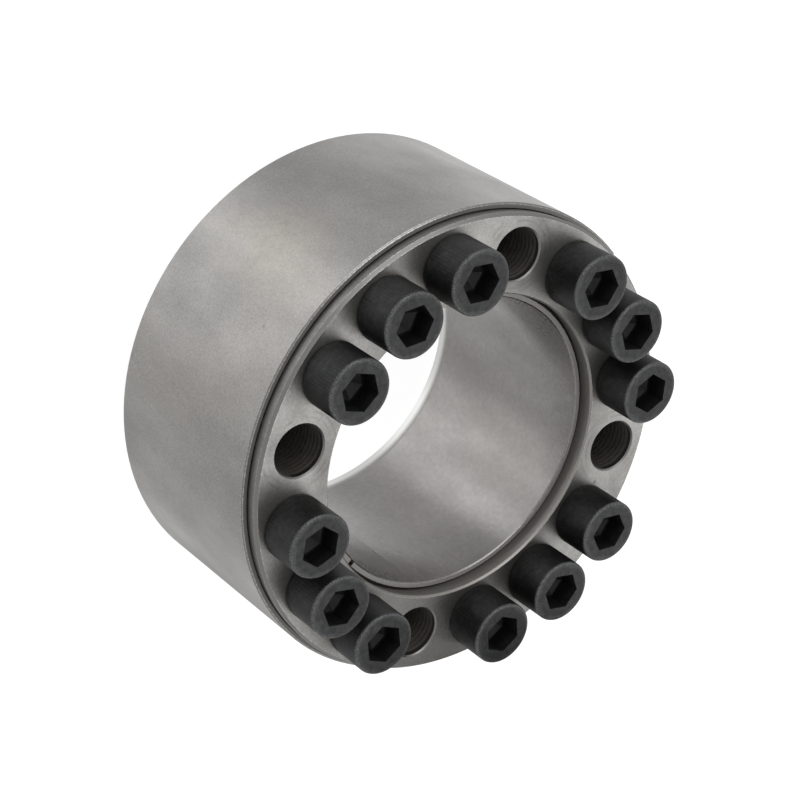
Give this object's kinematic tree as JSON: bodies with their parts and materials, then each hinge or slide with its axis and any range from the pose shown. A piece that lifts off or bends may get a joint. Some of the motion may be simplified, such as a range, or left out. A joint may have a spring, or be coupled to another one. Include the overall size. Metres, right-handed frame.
{
  "type": "shaft locking assembly",
  "caption": "Set of double-taper rings that clamps a hub to a shaft when its circle of socket head screws is tightened.",
  "frame": {"origin": "on the shaft axis, in the plane of the inner ring's rear end", "axes": "+Z along the shaft axis towards the screw heads, -Y through the first release hole, +X through the last one"},
  "size_m": [0.1344, 0.1344, 0.079],
  "materials": {
    "ground_steel": "ground, lightly oiled",
    "bored_steel": "fine bored",
    "turned_steel": "turned, satin",
    "black_oxide_steel": "black oxide"
  },
  "bodies": {
    "ring_pair": {"inner_ring": "bored_steel", "outer_ring": "ground_steel"},
    "front_ring": {"front_clamp_ring": "turned_steel"},
    "rear_ring": {"rear_clamp_ring": "turned_steel"},
    "screw_01": {"clamp_screw_01": "black_oxide_steel"},
    "screw_02": {"clamp_screw_02": "black_oxide_steel"},
    "screw_03": {"clamp_screw_03": "black_oxide_steel"},
    "screw_04": {"clamp_screw_04": "black_oxide_steel"},
    "screw_05": {"clamp_screw_05": "black_oxide_steel"},
    "screw_06": {"clamp_screw_06": "black_oxide_steel"},
    "screw_07": {"clamp_screw_07": "black_oxide_steel"},
    "screw_08": {"clamp_screw_08": "black_oxide_steel"},
    "screw_09": {"clamp_screw_09": "black_oxide_steel"},
    "screw_10": {"clamp_screw_10": "black_oxide_steel"},
    "screw_11": {"clamp_screw_11": "black_oxide_steel"},
    "screw_12": {"clamp_screw_12": "black_oxide_steel"}
  },
  "joints": [
    {"name": "screw_01_turn", "type": "hinge", "parent": "front_ring", "child": "screw_01", "pos_m": [0.02086, -0.05035, 0.0668], "axis": [0, 0, 1], "range_deg": [-541, 361]},
    {"name": "screw_02_turn", "type": "hinge", "parent": "front_ring", "child": "screw_02", "pos_m": [0.03854, -0.03854, 0.0668], "axis": [0, 0, 1], "range_deg": [-541, 361]},
    {"name": "screw_03_turn", "type": "hinge", "parent": "front_ring", "child": "screw_03", "pos_m": [0.05035, -0.02086, 0.0668], "axis": [0, 0, 1], "range_deg": [-541, 361]},
    {"name": "screw_04_turn", "type": "hinge", "parent": "front_ring", "child": "screw_04", "pos_m": [0.05035, 0.02086, 0.0668], "axis": [0, 0, 1], "range_deg": [-541, 361]},
    {"name": "screw_05_turn", "type": "hinge", "parent": "front_ring", "child": "screw_05", "pos_m": [0.03854, 0.03854, 0.0668], "axis": [0, 0, 1], "range_deg": [-541, 361]},
    {"name": "screw_06_turn", "type": "hinge", "parent": "front_ring", "child": "screw_06", "pos_m": [0.02086, 0.05035, 0.0668], "axis": [0, 0, 1], "range_deg": [-541, 361]},
    {"name": "screw_07_turn", "type": "hinge", "parent": "front_ring", "child": "screw_07", "pos_m": [-0.02086, 0.05035, 0.0668], "axis": [0, 0, 1], "range_deg": [-541, 361]},
    {"name": "screw_08_turn", "type": "hinge", "parent": "front_ring", "child": "screw_08", "pos_m": [-0.03854, 0.03854, 0.0668], "axis": [0, 0, 1], "range_deg": [-541, 361]},
    {"name": "screw_09_turn", "type": "hinge", "parent": "front_ring", "child": "screw_09", "pos_m": [-0.05035, 0.02086, 0.0668], "axis": [0, 0, 1], "range_deg": [-541, 361]},
    {"name": "screw_10_turn", "type": "hinge", "parent": "front_ring", "child": "screw_10", "pos_m": [-0.05035, -0.02086, 0.0668], "axis": [0, 0, 1], "range_deg": [-541, 361]},
    {"name": "screw_11_turn", "type": "hinge", "parent": "front_ring", "child": "screw_11", "pos_m": [-0.03854, -0.03854, 0.0668], "axis": [0, 0, 1], "range_deg": [-541, 361]},
    {"name": "screw_12_turn", "type": "hinge", "parent": "front_ring", "child": "screw_12", "pos_m": [-0.02086, -0.05035, 0.0668], "axis": [0, 0, 1], "range_deg": [-541, 361]},
    {"name": "front_ring_slide", "type": "slide", "parent": "ring_pair", "child": "front_ring", "axis": [0, 0, 1], "range_m": [-0.00131, 0.00088]},
    {"name": "rear_ring_slide", "type": "slide", "parent": "ring_pair", "child": "rear_ring", "axis": [0, 0, 1], "range_m": [-0.00088, 0.00132]}
  ],
  "couplings": [
    {"joint": "screw_01_turn", "follows": "front_ring_slide", "rad_per_m": 7180.8},
    {"joint": "screw_02_turn", "follows": "front_ring_slide", "rad_per_m": 7180.8},
    {"joint": "screw_03_turn", "follows": "front_ring_slide", "rad_per_m": 7180.8},
    {"joint": "screw_04_turn", "follows": "front_ring_slide", "rad_per_m": 7180.8},
    {"joint": "screw_05_turn", "follows": "front_ring_slide", "rad_per_m": 7180.8},
    {"joint": "screw_06_turn", "follows": "front_ring_slide", "rad_per_m": 7180.8},
    {"joint": "screw_07_turn", "follows": "front_ring_slide", "rad_per_m": 7180.8},
    {"joint": "screw_08_turn", "follows": "front_ring_slide", "rad_per_m": 7180.8},
    {"joint": "screw_09_turn", "follows": "front_ring_slide", "rad_per_m": 7180.8},
    {"joint": "screw_10_turn", "follows": "front_ring_slide", "rad_per_m": 7180.8},
    {"joint": "screw_11_turn", "follows": "front_ring_slide", "rad_per_m": 7180.8},
    {"joint": "screw_12_turn", "follows": "front_ring_slide", "rad_per_m": 7180.8},
    {"joint": "rear_ring_slide", "follows": "front_ring_slide", "ratio": -1}
  ]
}
